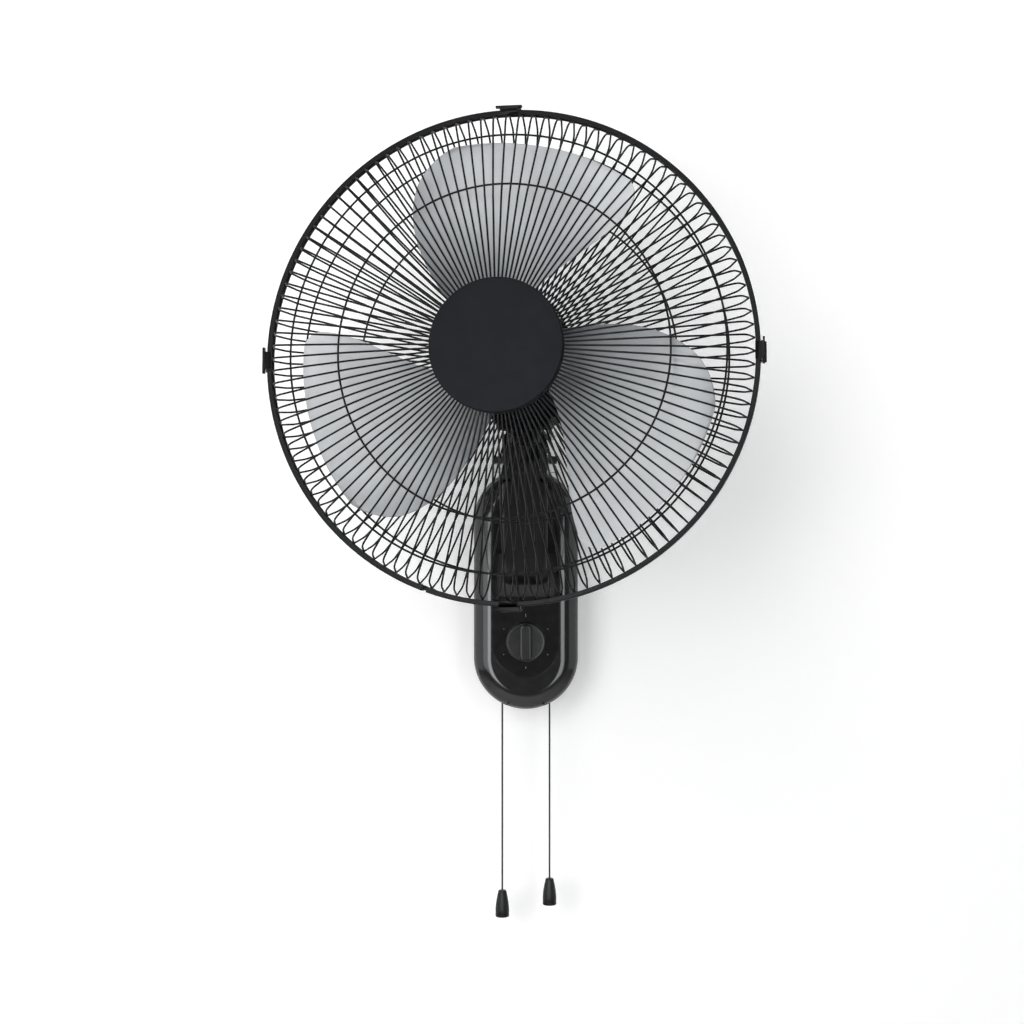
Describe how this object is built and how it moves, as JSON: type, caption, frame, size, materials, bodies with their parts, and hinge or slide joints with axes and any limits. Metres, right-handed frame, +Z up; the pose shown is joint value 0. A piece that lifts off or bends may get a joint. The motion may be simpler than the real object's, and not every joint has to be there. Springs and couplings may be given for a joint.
{
  "type": "wall mounted fan",
  "caption": "Oscillating wall fan: round wire guard, smoky translucent blades and motor head on a bent neck, glossy black wall base with a rotary knob and two pull cords.",
  "frame": {"origin": "centre of the four wall screw holes, on the wall plane", "axes": "+X to the right seen from the front, +Y into the wall, +Z up; the fan blows towards -Y"},
  "size_m": [0.4556, 0.3142, 0.781],
  "materials": {
    "gloss_shell": "gloss black moulded plastic",
    "panel": "gloss black moulded plastic",
    "knob": "satin black moulded plastic",
    "matte_black": "matte black moulded plastic",
    "housing": "fine grained black plastic",
    "wire": "charcoal powder coated steel wire",
    "rim": "charcoal powder coated steel band",
    "blade": "smoky translucent moulded plastic",
    "steel": "zinc plated steel",
    "cast": "raw die cast aluminium",
    "neck_cast": "satin black painted casting",
    "lamination": "stacked electrical steel",
    "copper": "enamelled copper winding",
    "bronze": "sintered bronze",
    "rubber": "black rubber",
    "resin": "natural moulded resin",
    "cord": "black braided cord",
    "pull": "semi matte black plastic"
  },
  "bodies": {
    "wall_base": {"back_shell": "gloss_shell", "wall_plate": "steel", "base_cover": "gloss_shell", "cover_screws": "steel", "control_panel": "panel", "neck_seal": "rubber", "speed_switch": "resin", "pull_switches": "resin", "capacitor": "resin", "terminal_block": "resin", "cable_grommet": "rubber", "arm": "neck_cast", "arm_cover": "matte_black", "arm_screws": "steel"},
    "neck": {"tilt_yoke": "neck_cast", "tilt_bolt": "steel", "tilt_nut": "steel", "neck_washers": "steel", "pivot_post": "steel"},
    "link": {"swing_link": "steel"},
    "head": {"pivot_bushing": "bronze", "front_bell": "cast", "rear_bell": "cast", "stator_core": "lamination", "windings": "copper", "bearings": "bronze", "motor_bolts": "steel", "front_cover": "housing", "rear_cover": "housing", "housing_screws": "steel", "swing_motor": "cast", "rear_guard_plate": "rim", "guard_lock_nut": "matte_black", "front_guard_spokes": "wire", "rear_guard_spokes": "wire", "front_guard_rings": "wire", "rear_guard_rings": "wire", "rim_hoop": "rim", "rim_screw": "steel", "centre_disc": "matte_black", "disc_backing": "rim", "disc_screws": "steel", "clip_brackets": "rim"},
    "crank": {"swing_crank": "steel"},
    "rotor": {"motor_shaft": "steel", "rotor_core": "cast", "drive_pin": "steel", "fan_blade": "blade", "blade_nut": "matte_black"},
    "knob": {"speed_knob": "knob", "knob_shaft": "resin"},
    "left_pull": {"left_cord": "cord", "left_bell": "pull"},
    "right_pull": {"right_cord": "cord", "right_bell": "pull"},
    "clip_top_lever": {"clip_top": "matte_black"},
    "clip_left_lever": {"clip_left": "matte_black"},
    "clip_bottom_lever": {"clip_bottom": "matte_black"},
    "clip_right_lever": {"clip_right": "matte_black"}
  },
  "joints": [
    {"name": "tilt", "type": "hinge", "parent": "wall_base", "child": "neck", "pos_m": [0, -0.12, 0.125], "axis": [-1, 0, 0], "range_deg": [-24.5, 5.5]},
    {"name": "oscillate", "type": "hinge", "parent": "neck", "child": "head", "pos_m": [0, -0.15469, 0.15582], "axis": [0, 0.0785, 0.9969], "range_deg": [-33.5, 50.5]},
    {"name": "blade_spin", "type": "hinge", "parent": "head", "child": "rotor", "pos_m": [-0.01404, -0.24365, 0.223], "axis": [-0.1478, -0.986, 0.0776], "continuous": true},
    {"name": "link_swing", "type": "hinge", "parent": "neck", "child": "link", "pos_m": [0.015, -0.15465, 0.15632], "axis": [0, 0.0785, 0.9969], "range_deg": [-33.5, 50.5]},
    {"name": "crank_turn", "type": "hinge", "parent": "head", "child": "crank", "pos_m": [0.01307, -0.10361, 0.15581], "axis": [0, 0.0785, 0.9969], "range_deg": [-75.75, 50.25]},
    {"name": "knob_turn", "type": "hinge", "parent": "wall_base", "child": "knob", "pos_m": [0, -0.0655, -0.052], "axis": [0, 1, 0], "range_deg": [0, 270]},
    {"name": "left_pull_slide", "type": "slide", "parent": "wall_base", "child": "left_pull", "axis": [0, 0, -1], "range_m": [0, 0.012], "stiffness_N_per_m": 400},
    {"name": "right_pull_slide", "type": "slide", "parent": "wall_base", "child": "right_pull", "axis": [0, 0, -1], "range_m": [0, 0.012], "stiffness_N_per_m": 400},
    {"name": "clip_top_open", "type": "hinge", "parent": "head", "child": "clip_top_lever", "pos_m": [-0.01138, -0.20804, 0.4485], "axis": [-0.989, 0.1474, -0.0116], "range_deg": [0, 90]},
    {"name": "clip_left_open", "type": "hinge", "parent": "head", "child": "clip_left_lever", "pos_m": [-0.23648, -0.19236, 0.21897], "axis": [0, -0.0785, -0.9969], "range_deg": [0, 90]},
    {"name": "clip_bottom_open", "type": "hinge", "parent": "head", "child": "clip_bottom_lever", "pos_m": [-0.01138, -0.24376, -0.00529], "axis": [0.989, -0.1474, 0.0116], "range_deg": [0, 90]},
    {"name": "clip_right_open", "type": "hinge", "parent": "head", "child": "clip_right_lever", "pos_m": [0.21372, -0.25944, 0.22425], "axis": [0, 0.0785, 0.9969], "range_deg": [0, 90]}
  ],
  "couplings": [
    {"joint": "link_swing", "follows": "oscillate", "ratio": 1},
    {"joint": "crank_turn", "follows": "oscillate", "ratio": -1.5}
  ]
}
